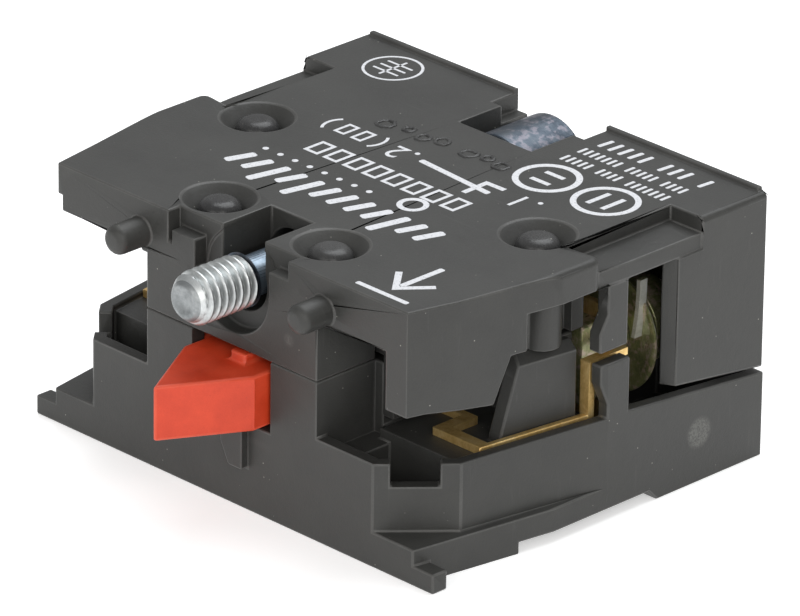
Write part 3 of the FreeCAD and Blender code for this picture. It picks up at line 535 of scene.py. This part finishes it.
class Ink:
    """Flat strokes, in mm, that are collected into one thin layer on the top plate."""

    def __init__(self):
        self.shape = bmesh.new()
        self.lift = 0.0

    def face(self, points):
        self.shape.faces.new([self.shape.verts.new(at(x, y, self.lift)) for x, y in points])

    def bar(self, start, end, width):
        """A straight stroke whose ends are slightly rounded."""
        a, b = Vector(start), Vector(end)
        along = (b - a).normalized()
        side = Vector((-along.y, along.x)) * width / 2
        nose = along * width * 0.22
        inset = side * 0.6
        self.face([a + side, a - nose + inset, a - nose - inset, a - side,
                   b - side, b + nose - inset, b + nose + inset, b + side])

    def path(self, points, width, closed=False):
        """A stroke of even width through the points, with mitred corners."""
        corners = [Vector(point) for point in points]
        count = len(corners)
        sides = []
        for index, corner in enumerate(corners):
            before = corners[index - 1] if closed or index else None
            after = corners[(index + 1) % count] if closed or index < count - 1 else None
            runs = [run.normalized() for run in ((corner - before) if before else None,
                                                 (after - corner) if after else None) if run]
            normals = [Vector((-run.y, run.x)) for run in runs]
            across = sum(normals, Vector((0.0, 0.0))).normalized()
            sides.append((corner, across * width / 2 / across.dot(normals[0])))
        for first, second in zip(sides, sides[1:] + (sides[:1] if closed else [])):
            self.face([first[0] + first[1], first[0] - first[1],
                       second[0] - second[1], second[0] + second[1]])

    def arc(self, centre, radius, width, start=0, end=360):
        """A stroke round a centre, from one angle in degrees to another."""
        steps = max(8, int(abs(end - start) / 6))
        angles = [math.radians(start + (end - start) * index / steps)
                  for index in range(steps + 1)]
        for first, second in zip(angles, angles[1:]):
            corners = [(radius + width / 2, first), (radius + width / 2, second),
                       (radius - width / 2, second), (radius - width / 2, first)]
            self.face([(centre[0] + r * math.cos(t), centre[1] + r * math.sin(t))
                       for r, t in corners])

    def dot(self, centre, radius):
        self.face([(centre[0] + radius * math.cos(t), centre[1] + radius * math.sin(t))
                   for t in [index * math.tau / 14 for index in range(14)]])

    def box(self, low, high, width):
        (x0, y0), (x1, y1) = low, high
        self.path([(x0, y0), (x1, y0), (x1, y1), (x0, y1)], width, closed=True)

    def digit(self, text, corner, height):
        """A plain digit that reads towards -X, its top towards the front."""
        curve = bpy.data.curves.new(f"digit_{text}", "FONT")
        curve.body = text
        curve.size = height / 0.7 * MM
        curve.resolution_u = 6
        source = bpy.data.objects.new(f"digit_{text}", curve)
        outline = bpy.data.meshes.new_from_object(source)
        outline.transform(Matrix.Translation(at(corner[0], corner[1], 0.0))
                          @ Matrix.Rotation(math.pi, 4, "Z"))
        self.shape.from_mesh(outline)
        bpy.data.objects.remove(source)

    def finish(self, name):
        """The layer as one object, half sunk in the top plate so that no gap shows."""
        layer, sunk = 0.03 * MM, 0.015 * MM
        bmesh.ops.recalc_face_normals(self.shape, faces=self.shape.faces)
        for face in self.shape.faces:
            if face.normal.z < 0:
                face.normal_flip()
        lifted = bmesh.ops.extrude_face_region(self.shape, geom=list(self.shape.faces))
        for item in lifted["geom"]:
            if isinstance(item, bmesh.types.BMVert):
                item.co.z += layer
        for vert in self.shape.verts:
            vert.co.z += TOP_Z - sunk
        return new_object(name, to_mesh(name, self.shape), "housing", INK)


def build_print():
    """The white print: strokes, boxes and rings in place of words, and two plain digits."""
    ink = Ink()
    # switch symbol between the two terminal numbers
    ink.lift = 0.01
    ink.bar((-0.45, 19.62), (6.75, 19.02), 0.5)
    ink.lift = 0.0
    ink.path([(5.5, 17.85), (5.45, 20.22), (7.2, 20.26)], 0.46)
    ink.digit("1", (9.9, 20.55), 2.0)
    ink.dot((10.55, 20.45), 0.2)
    ink.digit("2", (-2.1, 20.4), 2.0)
    ink.dot((-1.55, 20.3), 0.2)
    # a bold slanted hatch, a dotted line under it, and a row of open boxes
    for index in range(12):
        x = 9.3 - 1.72 * index
        tall = index in (2, 7, 9)
        ink.bar((x + 0.25, 11.75), (x - 0.45, 8.6 if tall else 9.75), 0.72)
    for index in range(8):
        ink.dot((0.9 - 1.5 * index, 13.1), 0.24)
    ink.arc((4.6, 13.75), 0.95, 0.42)
    for index in range(8):
        x = 7.2 - 1.95 * index
        ink.box((x, 15.1), (x - 1.15, 16.85), 0.28)
    # brackets round two small squares
    ink.arc((-6.2, 19.7), 1.6, 0.24, -42, 42)
    ink.arc((-8.4, 19.7), 1.6, 0.24, 138, 222)
    for x in (-6.0, -7.7):
        ink.box((x, 18.95), (x - 0.85, 20.45), 0.24)
    # arrow towards the seating face
    ink.bar((13.9, 7.4), (13.9, 3.5), 0.5)
    ink.path([(15.7, 5.0), (13.9, 2.9), (12.1, 5.0)], 0.5)
    ink.bar((11.4, 1.7), (16.2, 1.7), 0.42)
    # plain rings round bars
    ink.arc((7.78, 23.95), 2.28, 0.48)
    ink.path([(6.9, 23.2), (8.7, 23.2)], 0.42)
    ink.path([(6.9, 24.7), (8.7, 24.7)], 0.42)
    ink.arc((13.42, 24.05), 2.3, 0.46)
    ink.path([(12.7, 22.9), (12.7, 25.2)], 0.42)
    ink.path([(14.15, 22.9), (14.15, 25.2)], 0.42)
    ink.arc((-13.87, 29.98), 2.18, 0.22)
    for step in (-0.75, 0.0, 0.75):
        ink.bar((-15.1, 29.98 + step), (-12.65, 29.98 + step), 0.2)
    ink.bar((-13.87, 28.6), (-13.87, 31.4), 0.2)
    # graduated rows beside the back edge
    for index in range(11):
        x = 16.2 - 0.98 * index
        if index not in (1, 5):
            ink.bar((x, 32.0), (x - 0.1, 30.7), 0.36)
    for index in range(18):
        x = 15.9 - 0.58 * index
        if index not in (4, 10):
            ink.bar((x, 29.75), (x, 28.85), 0.26)
        if index not in (7, 12):
            ink.bar((x, 27.95), (x, 27.05), 0.26)
    ink.finish("top_print")


def build_batch_marks():
    """Small raised rings and beads, melted flat, beside the back edge of the plate."""
    chance = random.Random(11)
    around, sides, tube, relief = 20, 8, 0.17, 0.11
    shape = bmesh.new()
    for x, y, radius in ((-6.9, 22.4, 0.62), (-5.0, 22.9, 0.4), (-3.3, 22.6, 0.52),
                         (-1.9, 23.1, 0.56), (1.0, 22.9, 0.6), (2.5, 23.3, 0.42),
                         (4.1, 23.0, 0.56)):
        rings = []
        for angle in [index * math.tau / around for index in range(around)]:
            squash = 1 + 0.16 * chance.uniform(-1, 1)
            ring = []
            for lean in [side * math.tau / sides for side in range(sides)]:
                reach = radius * squash + tube * math.cos(lean)
                height = relief * math.sin(lean) * (1 + 0.3 * chance.uniform(-1, 1))
                point = at(x + reach * math.cos(angle), y + reach * math.sin(angle))
                point.z = TOP_Z + height * MM
                ring.append(shape.verts.new(point))
            rings.append(ring)
        join_rings(shape, rings, closed=True)
    thing = new_object("batch_marks", to_mesh("batch_marks", shape, 60), "housing",
                       SHELL_MELT)


# ---------------------------------------------------------------- stage

def lamp(name, place, width, height, watts, colour):
    """A rectangular soft light that points at the middle of the object."""
    data = bpy.data.lights.new(name, "AREA")
    data.shape = "RECTANGLE"
    data.size = width
    data.size_y = height
    data.energy = watts
    data.color = colour
    thing = bpy.data.objects.new(name, data)
    thing.location = place
    thing.rotation_mode = "QUATERNION"
    middle = Vector((0.0, 0.0, 0.01))
    thing.rotation_quaternion = (middle - Vector(place)).to_track_quat("-Z", "Y")
    bpy.context.scene.collection.objects.link(thing)


def build_stage():
    """A pale paper floor, an even white surround and three soft lights."""
    bpy.ops.mesh.primitive_plane_add(size=6.0, location=(0, 0, 0))
    floor = bpy.context.object
    floor.name = "floor"
    paper = Surface("floor_paper", Specular_IOR_Level=0.1, Roughness=0.9,
                    Emission_Color=(1.0, 1.0, 1.0, 1), Emission_Strength=0.45)
    colour = paper.ramp(paper.noise(0.02, 3), (0.3, (0.86, 0.86, 0.86)),
                        (0.7, (0.88, 0.88, 0.88)))
    floor.data.materials.append(paper.finish(colour))

    world = bpy.data.worlds.new("studio")
    bpy.context.scene.world = world
    world.use_nodes = True
    background = world.node_tree.nodes["Background"]
    background.inputs["Color"].default_value = (1.0, 1.0, 1.0, 1)
    background.inputs["Strength"].default_value = 0.42

    lamp("key", (0.78, -0.55, 0.50), 0.5, 0.6, 3.8, (1.0, 0.985, 0.955))
    lamp("fill", (0.10, -0.95, 0.50), 0.6, 0.6, 2.4, (1.0, 0.985, 0.96))
    lamp("overhead", (-0.1, 0.45, 0.95), 0.9, 0.9, 9.0, (0.95, 0.975, 1.0))


def build_camera():
    """A long lens above and to the right of the plunger's end."""
    data = bpy.data.cameras.new("camera")
    data.sensor_width = 36.0
    data.lens = CAMERA_LENS
    data.clip_end = 20.0
    camera = bpy.data.objects.new("camera", data)
    bpy.context.scene.collection.objects.link(camera)
    sin_az, cos_az = math.sin(CAMERA_AZIMUTH), math.cos(CAMERA_AZIMUTH)
    sin_el, cos_el = math.sin(CAMERA_ELEVATION), math.cos(CAMERA_ELEVATION)
    forward = Vector((-sin_az * cos_el, cos_az * cos_el, -sin_el))
    level = Vector((cos_az, sin_az, 0))
    upright = level.cross(forward)
    right = level * math.cos(CAMERA_ROLL) + upright * math.sin(CAMERA_ROLL)
    up = upright * math.cos(CAMERA_ROLL) - level * math.sin(CAMERA_ROLL)
    turn = Matrix((right, up, -forward)).transposed()
    camera.matrix_world = Matrix.Translation(CAMERA_PLACE) @ turn.to_4x4()
    bpy.context.scene.camera = camera
    bpy.context.scene.view_settings.view_transform = "Standard"


def build_object():
    """Every piece: softened copies of the CAD nodes, and the pieces built here."""
    base = softened_copy("base_housing", SHELL_BEVEL, SHELL, SHELL_EDGE_WEAR_AND_HIGHLIGHT)
    base.data.materials.append(SHELL_MELT)
    for face in base.data.polygons:
        if face.center.z > TOP_Z - STAKE_MELT_DEPTH:
            face.material_index = 2
    softened_copy("cover_housing", SHELL_BEVEL, SHELL, SHELL_EDGE_WEAR_AND_HIGHLIGHT)
    softened_copy("plunger", PLUNGER_BEVEL, RED, RED_EDGE_HIGHLIGHT, segments=3)
    build_screw()
    build_return_spring()
    spring_materials = frame["nodes"]["contact_spring"].data.materials
    spring_materials.clear()
    spring_materials.append(SPRING)
    softened_copy("contact_bridge", STAMPED_BEVEL, BRASS)
    for side in SIDES:
        softened_copy(f"fixed_contact_{side}", STAMPED_BEVEL, BRASS)
        for node in ("fixed_tip", "bridge_tip"):
            softened_copy(f"{node}_{side}", STAMPED_BEVEL, SILVER)
        for node, width in (("terminal_nut", NUT_BEVEL), ("lock_washer", WASHER_BEVEL),
                            ("terminal_screw", NUT_BEVEL)):
            softened_copy(f"{node}_{side}", width, YELLOW_ZINC)
        build_clamp(f"clamp_plate_{side}")
    build_print()
    build_batch_marks()


build_camera()
build_stage()
build_object()
